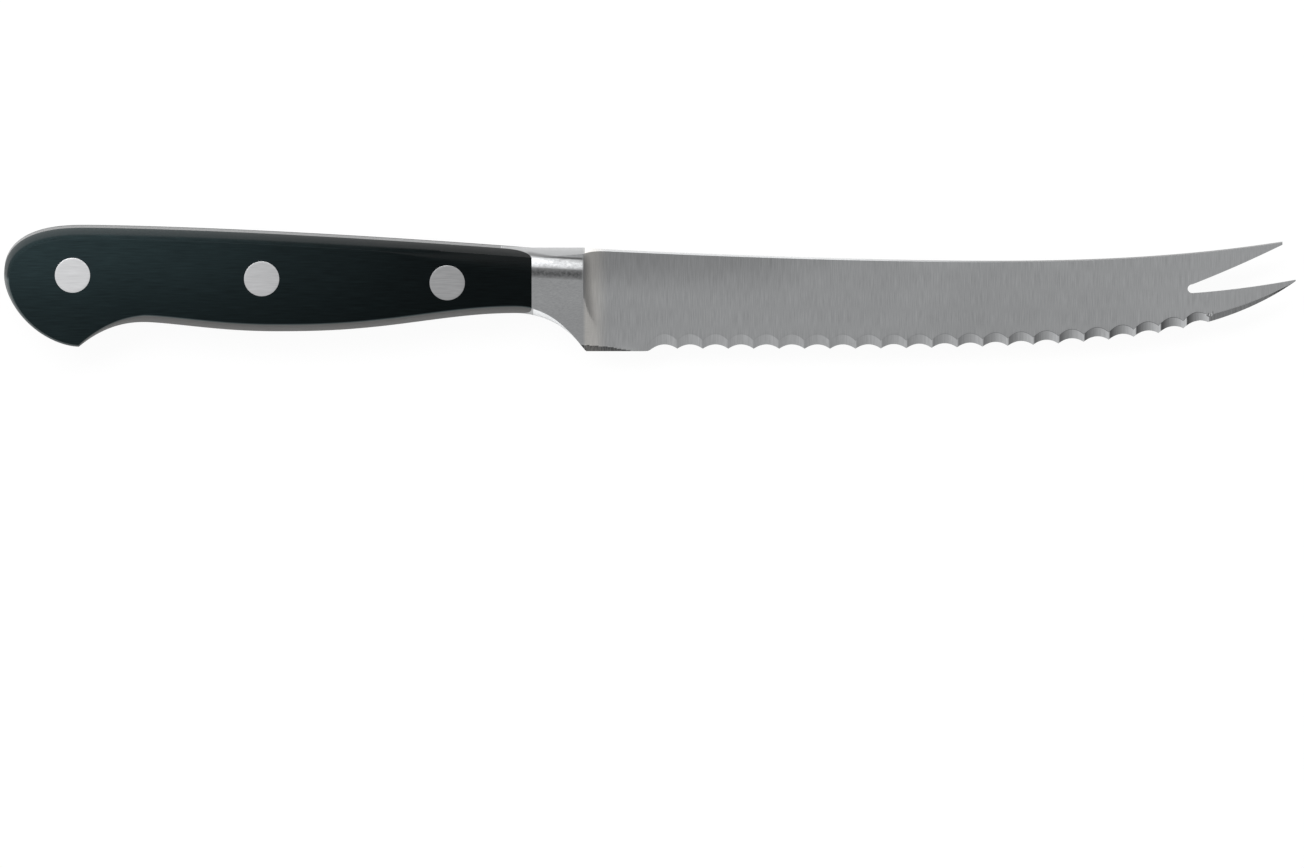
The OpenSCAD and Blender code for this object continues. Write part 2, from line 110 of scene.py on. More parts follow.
# The rivets' heads, and how far they stand proud.
RIVETS = {"butt": (13.6, 2.1), "middle": (51.0, 1.4), "front": (87.7, 0.6)}
RIVET_R, RIVET_RIM, RIVET_PROUD, RIVET_DEPTH = 3.5, 0.06, 0.02, 2.0
RIVET_TURNS = 96

ORIGIN = np.array([TIP_X / 2, (CROWN_Y + HEEL_Y) / 2, -CHEEK])
NEAR = 1e-6

# Marks on the points of the forging that tell its material how a spot was worked and where it
# lies, for its painted highlights and shade. On a hollow the mark also holds the place across it,
# half a unit either way.
HOLLOW, BEVELLED, SPINE, TANG_BACK, HEEL_FACET, GUARD_ROUND = 1.0, 2.5, 3.5, 4.2, 5.0, 6.0
HEEL_MARK_HEIGHT = 3

# Between which marks each of them rises from 0 to 1, and falls again.
ON_HOLLOW = (0.2, 0.45, 1.55, 1.7)
ON_BEVEL = (1.75, 2.3, 2.6, 2.8)
ON_SPINE = (3.2, 3.45, 3.6, 3.8)
ON_TANG_BACK = (3.9, 4.15, 4.3, 4.5)
ON_HEEL_FACET = (4.6, 4.95, 5.1, 5.4)
ON_GUARD = (5.6, 5.95)

# Marks on a scale: 1 on the side below the belly and the beak, less round the butt; the material
# paints a reflection by them.
BUTT_SHARE, SIDE_TOP, SIDE_FADE = 0.7, CHEEK - 0.12, 0.3

# Where the looks of the metal and the scales change along X and across it, painted highlights,
# reflections and shade among them.
BLADE_STARTS, NEAR_HEEL, NEAR_SPINE = (113, 118), (118, 190), (-4, 5)
BOLSTER_STARTS, BOLSTER_ENDS = (103, 104), (114.2, 114.8)
PAINTED_HIGHLIGHT_BAND, PAINTED_DARK_BAND, PAINTED_SHADE_SEAM = (4.7, 1.1), (2.7, 1.15), (5.9, 0.28)
PAINTED_BAND_SLOPE = 0.09
PLUNGE_HIGHLIGHT_RISES, PLUNGE_HIGHLIGHT_FADES = (114.4, 115.2), (116.5, 120)
TIP_BRIGHTENS, HOLLOWS_PAINTED_DARKER = (190, 250), (150, 245)
BEVEL_DARKENS, SPINE_HIGHLIGHT_FADES, STREAK = (249.5, 253), (150, 205), (0.35, 0.6)
SCALE_SHEEN_FADES, SCALE_SHEEN_RISES, RIVET_SHEEN_FADES = (-15, 100), (-9, 8), (0, 110)

# The camera: where it looks, how far it stands off, and the width that it takes in, in metres.
AIM_X, AIM_Y, TILT = 128.2, -30.77, math.radians(9)
CAMERA_DISTANCE, FRAME_WIDTH, SENSOR_WIDTH, CAMERA_CLIP = 9.0, 0.2582, 36, 20
FLOOR_HALF, FLOOR_Z, FLOOR_GLOW = 2.0, -0.0002, 0.93
LAMP_PLACE, LAMP_SIZE = (-0.25, 0.55, 0.8), (0.9, 0.4)


def ramp(u):
    """A smooth step: 3 u^2 - 2 u^3, held at 0 and 1."""
    u = np.clip(u, 0, 1)
    return u * u * (3 - 2 * u)


def half_wave(u, power):
    """Half a cosine wave, skewed by a power of u."""
    return (1 - np.cos(np.pi * np.clip(u, 0, 1) ** power)) / 2


def bulge(u, power):
    """One side of a superellipse, 0 at u = 0 and 1 at u = 1."""
    return (1 - (1 - np.clip(u, 0, 1)) ** power) ** (1 / power)


def back_line(x):
    """Height of the handle's back: a superellipse up to the crown, then a power curve down."""
    u = np.clip((x - CROWN_X) / (BOLSTER_BACK - CROWN_X), 0, 1)
    return np.where(x < CROWN_X, BUTT_Y + (CROWN_Y - BUTT_Y) * bulge(x / CROWN_X, CROWN_POWER),
                    CROWN_Y - (CROWN_Y - BOLSTER_TOP) * u ** BACK_POWER)


def under_line(x):
    """Height of the handle's underside: beak, notch, belly, neck and the guard's arc."""
    beak = BUTT_Y + (BEAK_Y - BUTT_Y) * bulge(x / BEAK_X, BEAK_POWER)
    left = np.clip((NOTCH_X - x) / (NOTCH_X - BEAK_X), 0, 1)
    to_notch = NOTCH_Y + (BEAK_Y - NOTCH_Y) * left ** NOTCH_POWER
    to_belly = NOTCH_Y + (BELLY_Y - NOTCH_Y) * half_wave(
        (x - NOTCH_X) / (BELLY_X - NOTCH_X), BELLY_POWER)
    to_neck = BELLY_Y + (NECK_Y - BELLY_Y) * half_wave(
        (x - BELLY_X) / (NECK_X - BELLY_X), NECK_POWER)
    arc = NECK_Y - GUARD_RADIUS + np.sqrt(np.maximum(0, GUARD_RADIUS ** 2 - (x - NECK_X) ** 2))
    return np.select([x < BEAK_X, x < NOTCH_X, x < BELLY_X, x < NECK_X],
                     [beak, to_notch, to_belly, to_neck], arc)


def crowned(z, radius):
    """How far a crowned face falls back at height z from the tang's middle."""
    return np.maximum(0, z * z - TANG * TANG) / (2 * radius)


def eased(z):
    """Share of the eased edge that is used up at height z: 1 less a square root of the rest."""
    return np.where(z <= CHEEK - EASE_DEPTH, 0, 1 - np.sqrt(np.maximum(0, CHEEK - z) / EASE_DEPTH))


def edge_line(x):
    """The line of the tooth points: straight, then a square and a sixth power up to the tip."""
    u = np.maximum(0, (x - SWEEP_X) / (TIP_X - SWEEP_X))
    return HEEL_Y + EDGE_STOCK + SWEEP_SQUARE * u * u + SWEEP_SIXTH * u ** 6


def blank_edge(x):
    """Lower edge of the blade before the scallops are ground."""
    return edge_line(x) - np.where(x < LAST_SCALLOP, EDGE_STOCK, 0)


def spine_line(x):
    """The blade's spine: a hollow of two power curves that meet at its lowest point."""
    fall = np.clip((SPINE_LOW_X - x) / SPINE_FALL_LENGTH, 0, 1)
    rise = np.clip((x - SPINE_LOW_X) / (UPPER_X - SPINE_LOW_X), 0, 2)
    return (BOLSTER_TOP - SPINE_FALL * (1 - fall ** SPINE_FALL_POWER)
            + SPINE_RISE * rise ** SPINE_RISE_POWER)


def blade_z(x, y):
    """Half of the blade's thickness: a straight taper from the spine to the edge."""
    at = np.maximum(x, PLUNGE_START)
    u = np.clip((x - PLUNGE_START) / (TIP_X - PLUNGE_START), 0, 1)
    spine = SPINE_HALF + (TIP_HALF - SPINE_HALF) * u
    low, high = blank_edge(at), spine_line(at)
    return EDGE_HALF + (spine - EDGE_HALF) * np.clip((y - low) / (high - low), 0, 1)


def plunge_place(x, y):
    """Place of the section that reaches (x, y), found by halving: the plunge is an arc below its
    middle, and sections on either side lean less and less towards it."""
    curve = np.where(y > PLUNGE_Y, 0, PLUNGE_RADIUS - np.sqrt(
        np.maximum(0, PLUNGE_RADIUS ** 2 - (y - PLUNGE_Y) ** 2)))
    low, high = x - curve, x + 0 * y
    for _ in range(30):
        middle = (low + high) / 2
        lean = np.where(middle < PLUNGE_START, ramp((middle - BOLSTER_BACK) / BOLSTER_LENGTH),
                        1 - ramp((middle - PLUNGE_END) / PLUNGE_RUN))
        beyond = middle + curve * lean > x
        high = np.where(beyond, middle, high)
        low = np.where(beyond, low, middle)
    return (low + high) / 2


def heel_facet(y):
    """Height of the slanted facet under the bolster and the heel, from the tang's middle."""
    return EDGE_HALF + np.maximum(0, y - HEEL_Y) * FACET_SLOPE


def has_facet(x):
    """Whether the slanted facet reaches x."""
    return (x > BOLSTER_BACK + BOLSTER_TAPER) & (x < FIRST_SCALLOP)


def forging_z(x, y, top_edge):
    """Half of the forging's thickness: tang, fillet, bolster, hollow plunge and blade in one."""
    shoulder = np.clip(1 - (top_edge - y) / SHOULDER, 0, 1) ** 2 * EASE_DEPTH
    run = np.clip(x - FILLET_START, 0, FILLET)
    tang = np.minimum(CHEEK - np.sqrt(FILLET ** 2 - run ** 2), CHEEK - shoulder)
    flank = CHEEK - BOLSTER_TAPER * (x - BOLSTER_BACK) / BOLSTER_LENGTH
    down = ramp((HEEL_FADE_Y - y) / (HEEL_FADE_Y - HEEL_Y))
    share = 1 - (1 - HEEL_SHARE) * down * ramp((x - BOLSTER_BACK) / BOLSTER_LENGTH)
    place = plunge_place(x, y)
    hollow = (1 - np.clip((place - PLUNGE_START) / PLUNGE_LENGTH, 0, 1)) ** 2
    blade = blade_z(x, y)
    bolster = blade + np.maximum(0, flank - blade) * share * hollow * (1 - shoulder / CHEEK)
    z = np.where(x < BOLSTER_BACK, tang, bolster)
    return np.where(has_facet(x), np.minimum(z, heel_facet(y)), z)


def wheel_centres():
    """Places of the grinding wheel's axis for each scallop, along X and across the grind."""
    x = FIRST_SCALLOP + PITCH * np.arange(SCALLOPS)
    y = edge_line(x) + SCALLOP_DEPTH
    return x, WHEEL - y * math.sin(GRIND) - blade_z(x, y) * math.cos(GRIND)


def wheel_line(x):
    """Lowest reach of the wheel at x, across the grind: the lower side of a row of circles."""
    cx, cw = wheel_centres()
    d = x[..., None] - cx
    reach = np.where(np.abs(d) < WHEEL, cw - np.sqrt(np.maximum(0, WHEEL ** 2 - d * d)), AWAY)
    return reach.min(axis=-1)


def cusps():
    """Where neighbouring wheel runs meet: on the line that halves the two circles."""
    cx, cw = wheel_centres()
    dx, dw = np.diff(cx), np.diff(cw)
    d = np.hypot(dx, dw)
    return (cx[:-1] + cx[1:]) / 2 + dw / d * np.sqrt(WHEEL ** 2 - (d / 2) ** 2)


def slot_edge(x, side):
    """Edge of the slot between the prongs: a round root and two slightly hollow lines."""
    root = SLOT_X + SLOT_R
    u = np.clip((x - root) / (TIP_X - root), 0, 1.2)
    start = SLOT_Y + side * SLOT_R
    slope = (SLOT_RISE / (UPPER_X - root) if side > 0
             else (edge_line(np.array(TIP_X)) + LOWER_TIP_RISE - start) / (TIP_X - root))
    line = start + slope * (x - root) - SLOT_HOLLOW * u * (1 - u)
    round_root = SLOT_Y + side * np.sqrt(np.maximum(0, SLOT_R ** 2 - (x - root) ** 2))
    return np.where(x < root, round_root, line)


def to_frame(points):
    """From the handle's frame in millimetres to the part's frame in metres."""
    return (points - ORIGIN) * MM


def make_piece(name, patches, material, nodes, angle=32):
    """One object from patches, each its points, its faces and a mark for each point. Points that
    fall together are joined."""
    faces, base = [], 0
    for points, patch_faces, _ in patches:
        faces += [[i + base for i in face] for face in patch_faces]
        base += len(points)
    points = np.vstack([patch[0] for patch in patches])
    marks = np.concatenate([patch[2] for patch in patches])
    _, first, inverse = np.unique(np.round(points, 4), axis=0, return_index=True,
                                  return_inverse=True)
    inverse = inverse.reshape(-1)
    joined = []
    for face in faces:
        ring = list(dict.fromkeys(int(inverse[i]) for i in face))
        if len(ring) > 2:
            joined.append(ring)
    mesh = bpy.data.meshes.new(name)
    mesh.from_pydata(to_frame(points[first]).tolist(), [], joined)
    mesh.validate()
    mesh.shade_smooth()
    mesh.set_sharp_from_angle(angle=math.radians(angle))
    layer = mesh.attributes.new("zone", "FLOAT", "POINT")
    layer.data.foreach_set("value", marks[first].astype(np.float32))
    mesh.materials.append(material)
    piece = bpy.data.objects.new(name, mesh)
    bpy.context.scene.collection.objects.link(piece)
    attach(piece, "root")
    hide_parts(*nodes)
    return piece


def grid_faces(rows, columns):
    """Quads between closed rings of points that are stored one ring after the other."""
    faces = []
    for r in range(rows - 1):
        here, there = r * columns, (r + 1) * columns
        for c in range(columns):
            d = (c + 1) % columns
            faces.append([here + c, here + d, there + d, there + c])
    return faces


def strip_cap(count, start=0, flip=False):
    """Faces that close a ring of points with a strip from one side to the other."""
    faces = []
    for i in range((count - 1) // 2):
        j = count - 1 - i
        ring = [i, i + 1, j - 1, j] if i + 1 < j - 1 else [i, i + 1, j]
        faces.append([start + k for k in (ring[::-1] if flip else ring)])
    return faces


def closed_faces(rows, columns):
    """Faces of a stack of rings with both of its ends capped."""
    return (grid_faces(rows, columns) + strip_cap(columns, 0, flip=True)
            + strip_cap(columns, (rows - 1) * columns))


def patch_of(rings):
    """A closed patch from rings of points, whose fourth number is the mark."""
    flat = rings.reshape(-1, rings.shape[-1])
    return flat[:, :3], closed_faces(*rings.shape[:2]), flat[:, 3]


def crease_of(x, low):
    """Height at which the wheel runs out of the right face, by repeated substitution."""
    crease = low + 1.2
    reach = wheel_line(x)
    for _ in range(12):
        crease = (blade_z(x, crease) * math.cos(GRIND) - reach) / math.sin(GRIND)
    return np.where(np.isfinite(crease), crease, -AWAY)


def side_rings(x, low, high, top_edge, right):
    """Points up one side of the forging at each x, from low to high, with the grind on the right.
    Some rows lie below the crease of the scallops or the bevel, and the rest above it."""
    crease = crease_of(x, low)
    free = low + np.minimum(BEVEL, (high - low) / 4)
    seam = np.where(crease > low + 0.3, crease, free)
    blend = np.clip(seam, low, low + 0.6 * (high - low))
    below = np.linspace(0, 1, 13)[None, :-1]
    above = np.linspace(0, 1, 46)[None, :]
    y = np.hstack([low[:, None] + (blend - low)[:, None] * below,
                   blend[:, None] + (high - blend)[:, None] * above])
    xx = np.repeat(x[:, None], y.shape[1], axis=1)
    z = forging_z(xx, y, top_edge[:, None])
    on_facet = has_facet(xx) & (z >= heel_facet(y) - NEAR) & (y < HEEL_Y + HEEL_MARK_HEIGHT)
    mark = np.where(on_facet, HEEL_FACET, 0.0)
    if right:
        z, mark = grind(x, xx, y, z, mark, low, free)
    return np.stack([xx, y, z, mark], axis=-1)


def grind(x, xx, y, z, mark, low, free):
    """Heights and marks after the scallops and the lower prong's bevel: the lesser of the face,
    the wheel's round and a straight slope that passes the middle at the edge."""
    reach = wheel_line(x)[:, None]
    ground = (reach + y * math.sin(GRIND)) / math.cos(GRIND)
    hollow = (reach < AWAY / 10) & (ground < z - NEAR)
    z = np.where(hollow, ground, z)
    centres = wheel_centres()[0]
    lean = x - centres[np.abs(x[:, None] - centres).argmin(axis=1)]
    mark = np.where(hollow, HOLLOW + np.clip(lean / PITCH, -0.5, 0.5)[:, None], mark)
    rise = (y - low[:, None]) / np.maximum(NEAR, free - low)[:, None]
    start = blade_z(xx, free[:, None] + 0 * y)
    bevel = -BEVEL_PAST + (start + BEVEL_PAST) * np.clip(rise, 0, 1)
    sharp = np.abs(low - tooth_line(x)) < NEAR
    past = sharp[:, None] & (xx > LAST_SCALLOP) & (y < free[:, None])
    mark = np.where(past & (bevel < z - NEAR), BEVELLED, mark)
    z = np.where(past, np.minimum(z, bevel), z)
    return np.maximum(z, -blade_z(xx, y)), mark


def tooth_line(x):
    """Lower outline of the blade: where the wheel breaks out of the left face."""
    reach = wheel_line(x)
    low = blank_edge(np.maximum(x, PLUNGE_START))
    y = low.copy()
    for _ in range(12):
        y = (-blade_z(x, y) * math.cos(GRIND) - reach) / math.sin(GRIND)
    return np.maximum(low, y)


def handle_low(x, z):
    """Underside of the tang, bolster and guard at height z, rounded as the wheel's rim leaves
    it."""
    arc = NECK_Y - GUARD_RADIUS + np.sqrt(np.maximum(
        0, (GUARD_RADIUS + crowned(z, BELLY_RADIUS)) ** 2 - (x - NECK_X) ** 2))
    return np.where(x < NECK_X, under_line(x) + crowned(z, BELLY_RADIUS), arc)


def forging_columns():
    """Places of the sections, close together where the form turns, and on every cusp: those of
    the body, and those beyond the root of the slot."""
    teeth_start = 126.0
    marks = np.concatenate([[teeth_start], cusps(), [LAST_SCALLOP + 5.5]])
    teeth = np.concatenate([np.linspace(a, b, 17)[:-1] for a, b in zip(marks[:-1], marks[1:])])
    butt = BEAK_X * (1 - np.cos(np.linspace(0.02, np.pi / 2, 28)))
    handle = np.arange(BEAK_X + 1, FILLET_START, 1.1)
    fillet = FILLET_START + FILLET * np.sin(np.linspace(0, np.pi / 2, 16))
    bolster = np.arange(BOLSTER_BACK + 0.3, teeth_start, 0.3)
    columns = np.unique(np.concatenate([butt, handle, fillet, bolster, teeth]))
    columns = columns[np.append(np.diff(columns) > 0.01, True)]
    body = np.append(columns[columns < SLOT_X - 0.05], SLOT_X)
    return body, teeth[teeth > SLOT_X + 0.05]


def turned(first, last, turn):
    """Heights between two points, spaced as a half turn seen from the side."""
    return (first + last)[:, None] / 2 + (first - last)[:, None] / 2 * turn


def marked(x, y, z, mark):
    """Rows of points with the same mark for each section."""
    return np.stack([x[:, None] + 0 * z, y, z, mark[:, None] + 0 * z], axis=-1)


def forging_ring(x, low_side, high_side, close_low, close_high):
    """A whole section at each x: up the right side, over the top, down the left side and under."""
    top = np.where(x < BOLSTER_BACK, back_line(x), spine_line(np.maximum(x, PLUNGE_START)))
    z_top = forging_z(x, top, top)
    top_edge = top - crowned(z_top, BACK_RADIUS)
    high = top_edge if high_side is None else np.minimum(high_side(x), top_edge)
    low = low_side(x)
    right = side_rings(x, low, high, top_edge, True)
    left = side_rings(x, low, high, top_edge, False)
    left[..., 2] *= -1
    turn = np.cos(np.linspace(0, np.pi, 15)[1:-1])[None, :]
    if close_high == "crown":
        z = z_top[:, None] * turn
        y = np.where(high[:, None] < top_edge[:, None] - NEAR, high[:, None],
                     top[:, None] - crowned(z, BACK_RADIUS))
    else:
        z = turned(right[:, -1, 2], left[:, -1, 2], turn)
        y = high[:, None] + 0 * z
    mark = np.where((x > PLUNGE_START) & (close_high == "crown"), SPINE, 0.0)
    over = marked(x, y, z, np.where(x < FILLET_START, TANG_BACK, mark))
    z = turned(left[:, 0, 2], right[:, 0, 2], turn)
    y = low[:, None] + 0 * z
    if close_low == "guard":
        rounded = np.maximum(handle_low(x[:, None], np.abs(z)), HEEL_Y)
        y = np.where((x < HEEL_X)[:, None], np.minimum(rounded, low[:, None]), y)
    mark = np.where((x > BOLSTER_BACK) & (x < HEEL_X), GUARD_ROUND, 0.0)
    return np.concatenate([right, over, left[:, ::-1], marked(x, y, z, mark)], axis=1)


def body_low(x):
    """Lower end of the right side: the rounded handle and guard, then the teeth. The height and
    the half thickness depend on each other, and are settled by repeated averaging."""
    z = np.full_like(x, 4.0)
    for _ in range(25):
        y = np.maximum(handle_low(x, z), HEEL_Y)
        z = 0.5 * z + 0.5 * forging_z(x, y, y + 20)
    return np.where(x < HEEL_X, np.maximum(handle_low(x, z), HEEL_Y), tooth_line(x))


def scale_rings(levels):
    """Outlines of a scale at each height: along the back, round the butt and underneath again."""
    rings = []
    for z in levels:
        front = FILLET_START + math.sqrt(max(0, FILLET ** 2 - (CHEEK - z) ** 2)) - SCALE_GAP
        share = float(eased(z))
        inset = float(crowned(z, BACK_RADIUS))
        butt = float(crowned(z, BUTT_RADIUS)) + share * EASE_WIDTH
        bottom = float(crowned(z, BELLY_RADIUS)) + share * EASE_WIDTH
        x = front + (CROWN_X - front) * np.linspace(0, 1, 100)[:-1]
        ease = EASE_WIDTH + (SHOULDER - EASE_WIDTH) * ramp(
            (x - SHOULDER_START) / (BOLSTER_BACK - SHOULDER_START))
        back = np.stack([x, back_line(x) - inset - share * ease], axis=-1)
        a = np.linspace(0, np.pi / 2, 36)[:-1]
        crown_top = CROWN_Y - (inset + share * EASE_WIDTH)
        crown = np.stack([
            CROWN_X - (CROWN_X - butt) * np.sin(a) ** (2 / CROWN_POWER),
            BUTT_Y + (crown_top - BUTT_Y) * np.cos(a) ** (2 / CROWN_POWER)], axis=-1)
        a = np.linspace(0, np.pi / 2, 37)
        rump = np.stack([
            BEAK_X - (BEAK_X - butt) * np.cos(a) ** (2 / BEAK_POWER),
            BUTT_Y - (-BEAK_Y - butt + BUTT_Y) * np.sin(a) ** (2 / BEAK_POWER)], axis=-1)
        u = np.linspace(0, 1, 21)[1:]
        x = BEAK_X + (NOTCH_X - BEAK_X) * u
        beak = np.stack([x, under_line(x) + butt + (bottom - butt) * u], axis=-1)
        x = NOTCH_X + (front - NOTCH_X) * np.linspace(0, 1, 80)[1:]
        belly = np.stack([x, under_line(x) + bottom], axis=-1)
        outline = np.vstack([back, crown, rump, beak, belly])
        mark = np.concatenate([np.zeros(len(back) + len(crown)),
                               np.full(len(rump), BUTT_SHARE),
                               np.ones(len(beak) + len(belly))])
        mark = mark * np.clip((SIDE_TOP - z) / SIDE_FADE, 0, 1)
        rings.append(np.column_stack([outline, np.full(len(outline), z), mark]))
    return np.array(rings)


class Value:
    """A shader socket with the usual arithmetic."""

    def __init__(self, graph, socket):
        self.graph, self.socket = graph, socket

    def join(self, operation, *others):
        """A Math node on this value and the others."""
        return self.graph.add("ShaderNodeMath", {"operation": operation}, [self, *others])

    def __add__(self, other):
        return self.join("ADD", other)

    def __radd__(self, other):
        return self.join("ADD", other)

    def __sub__(self, other):
        return self.join("SUBTRACT", other)

    def __rsub__(self, other):
        return self.graph.add("ShaderNodeMath", {"operation": "SUBTRACT"}, [other, self])

    def __mul__(self, other):
        return self.join("MULTIPLY", other)

    def __rmul__(self, other):
        return self.join("MULTIPLY", other)

    def __truediv__(self, other):
        return self.join("DIVIDE", other)

    def bump(self, middle, width):
        """1 at the middle and 0 a width away, rounded."""
        away = (self - middle) / width
        return 1 - (away * away).join("MINIMUM", 1)

    def step(self, start, end):
        """0 before start and 1 after end, smooth between them."""
        return self.graph.add("ShaderNodeMapRange", {"interpolation_type": "SMOOTHSTEP"},
                              {"Value": self, "From Min": start, "From Max": end})

    def between(self, rise_start, rise_end, fall_start, fall_end):
        """0, then 1 between the rise and the fall, then 0 again."""
        return self.step(rise_start, rise_end) * (1 - self.step(fall_start, fall_end))


class Graph:
    """A material's node tree."""

    def __init__(self, name):
        self.material = bpy.data.materials.new(name)
        self.material.use_nodes = True
        self.tree = self.material.node_tree
        self.shader = self.tree.nodes["Principled BSDF"]

    def add(self, kind, settings=None, inputs=(), output=0):
        """A node with its settings and inputs; gives back one of its outputs."""
        node = self.tree.nodes.new(kind)
        for key, value in (settings or {}).items():
            setattr(node, key, value)
        pairs = inputs.items() if isinstance(inputs, dict) else enumerate(inputs)
        for key, value in pairs:
            if isinstance(value, Value):
                self.tree.links.new(value.socket, node.inputs[key])
            else:
                node.inputs[key].default_value = value
        return Value(self, node.outputs[output])

    def place(self):
        """Place in the handle's frame, in millimetres: along X and across it."""
        at = self.add("ShaderNodeTexCoord", output="Object")
        outs = self.add("ShaderNodeSeparateXYZ", {}, [at]).socket.node.outputs
        return [Value(self, outs[i]) * (1 / MM) + float(ORIGIN[i]) for i in range(2)]

    def mark(self):
        """The mark that each point of the piece carries."""
        return self.add("ShaderNodeAttribute", {"attribute_name": "zone"}, output="Fac")

    def brushing(self, scale, detail=3.0):
        """Noise that is drawn out along the axis with the small scale."""
        at = self.add("ShaderNodeTexCoord", output="Object")
        drawn = self.add("ShaderNodeMapping", {}, {"Vector": at, "Scale": scale})
        return self.add("ShaderNodeTexNoise", {}, {"Vector": drawn, "Scale": 1.0,
                                                   "Detail": detail, "Roughness": 0.6})

    def feed(self, name, value):
        """A value or constant for one of the shader's inputs."""
        if isinstance(value, Value):
            self.tree.links.new(value.socket, self.shader.inputs[name])
        else:
            self.shader.inputs[name].default_value = value

    def tint(self, level, colour):
        """A colour times a level."""
        return self.add("ShaderNodeVectorMath", {"operation": "SCALE"},
                        {0: colour, "Scale": level})

    def blend(self, factor, first, second):
        """The first colour where the factor is 0, and the second where it is 1."""
        return self.add("ShaderNodeMix", {"data_type": "RGBA"},
                        {0: factor, 6: (*first, 1), 7: (*second, 1)}, output=2)

    def relief(self, height, strength):
        """A bump of a fiftieth of a millimetre from a height value."""
        return self.add("ShaderNodeBump", {}, {"Strength": strength, "Distance": 0.02 * MM,
                                               "Height": height})


def steel_material(settings):
    """Finely brushed steel: across the blade, along the tang, and grainy on the bolster, with
    painted highlights, reflections and shade on the bolster, the plunge, the hollows, the spine,
    the tang's back, the heel facet and the guard.
    """
    g = Graph("brushed_steel")
    x, y = g.place()
    mark = g.mark()
    across = g.brushing((9000, 260, 400))
    along = g.brushing((300, 7000, 7000))
    on_blade = x.step(*BLADE_STARTS)
    grain = across * on_blade + along * (1 - on_blade)
    cloud = g.brushing((60, 90, 90), 1.0)
    spots = g.brushing((1500, 1500, 1500), 2.0)
    level = 0.31 + (grain - 0.5) * 0.2 * settings.brushing + (cloud - 0.5) * 0.05
    level = level * (1 + x.step(*TIP_BRIGHTENS) * 0.12)
    near_heel = (1 - x.step(*NEAR_HEEL)) * y.step(*NEAR_SPINE) * on_blade
    level = level * (1 - near_heel * 0.28)

    # Painted reflections on the bolster's shoulder: a bright band of painted highlight, a dark
    # band of painted reflection and a thin line of painted shade along the top facet's edge,
    # roughened by the spots.
    bolster = x.between(*BOLSTER_STARTS, *BOLSTER_ENDS)
    lowered = y + (x - BOLSTER_BACK) * PAINTED_BAND_SLOPE
    painted_highlight_band = bolster * lowered.bump(*PAINTED_HIGHLIGHT_BAND)
    dark = bolster * lowered.bump(*PAINTED_DARK_BAND)
    seam = bolster * lowered.bump(*PAINTED_SHADE_SEAM)
    rough = 1 + (spots - 0.5) * 1.2
    level = level * (1 + painted_highlight_band * 1.9 * rough) * (1 - dark * 0.62 * rough) * (1 - seam * 0.6)
    # Painted highlight on the plunge, which is also tinted warm.
    plunge = x.between(*PLUNGE_HIGHLIGHT_RISES, *PLUNGE_HIGHLIGHT_FADES)
    level = level * (1 + plunge * 0.35)

    # Painted light on the hollows: a painted highlight near the heel, and painted shade and
    # highlight across each hollow's flanks, stronger towards the tip.
    hollow = mark.between(*ON_HOLLOW)
    tipward = x.step(*HOLLOWS_PAINTED_DARKER)
    level = level * (1 + hollow * (0.24 - tipward * 0.22)) * (
        1 + hollow * (mark - HOLLOW) * (0.3 + tipward * 1.5))
    bevel = mark.between(*ON_BEVEL)
    streak = across.step(*STREAK)
    level = level * (1 - bevel * (0.22 + streak * 0.3) - bevel * x.step(*BEVEL_DARKENS) * 0.42)
    # Painted reflection on the spine: much lighter near the heel, turning to painted shade towards
    # the tip.
    level = level * (1 + mark.between(*ON_SPINE) * (1.15 - x.step(*SPINE_HIGHLIGHT_FADES) * 1.75))
    # Painted shade on the tang's back and on the slanted heel facet, with streaks of the grain on
    # the facet.
    heel = mark.between(*ON_HEEL_FACET)
    level = level * (1 - mark.between(*ON_TANG_BACK) * 0.6) * (1 - heel * (0.62 + streak * 0.25))
    # Painted reflection on the rounded guard below the bolster.
    level = (level * (1 + mark.step(*ON_GUARD) * 1.2)).join("MAXIMUM", 0.01)

    warmth = g.blend(plunge, (0.98, 0.995, 1.01), (1.02, 1.0, 0.965))
    g.feed("Base Color", g.tint(level, warmth))
    g.feed("Metallic", 1.0)
    g.feed("Roughness", 0.34 + (grain - 0.5) * 0.2 + (spots - 0.5) * 0.08)
    g.feed("Normal", g.relief(grain, 0.18))
    return g.material


def scale_material(settings):
    """Satin dark plastic, finely brushed along the handle, with a painted sheen that is paler
    towards the butt and the back, and a painted reflection on the side below.
    """
    g = Graph("satin_black")
    x, y = g.place()
    side = g.mark()
    along = g.brushing((200, 6500, 6500))
    cloud = g.brushing((45, 60, 60), 1.0)
    # A painted sheen: paler towards the butt and towards the back.
    fall = (1 - x.step(*SCALE_SHEEN_FADES)) * (0.45 + 0.55 * y.step(*SCALE_SHEEN_RISES))
    level = 0.0022 + fall * 0.018 + (along - 0.5) * 0.022 * settings.brushing * (0.3 + fall)
    level = (level + (cloud - 0.5) * 0.006 * fall).join("MAXIMUM", 0.0006)
    # A painted reflection on the rounded side below the belly and the beak.
    level = level + side * (0.10 + (along - 0.5) * 0.06)
    cast = g.blend(side, (0.62, 1.06, 1.16), (1.0, 1.0, 0.98))
    g.feed("Base Color", g.tint(level, cast))
    g.feed("Roughness", 0.4 + (along - 0.5) * 0.16)
    g.feed("Specular IOR Level", 0.03)
    g.feed("Normal", g.relief(along, 0.15))
    return g.material


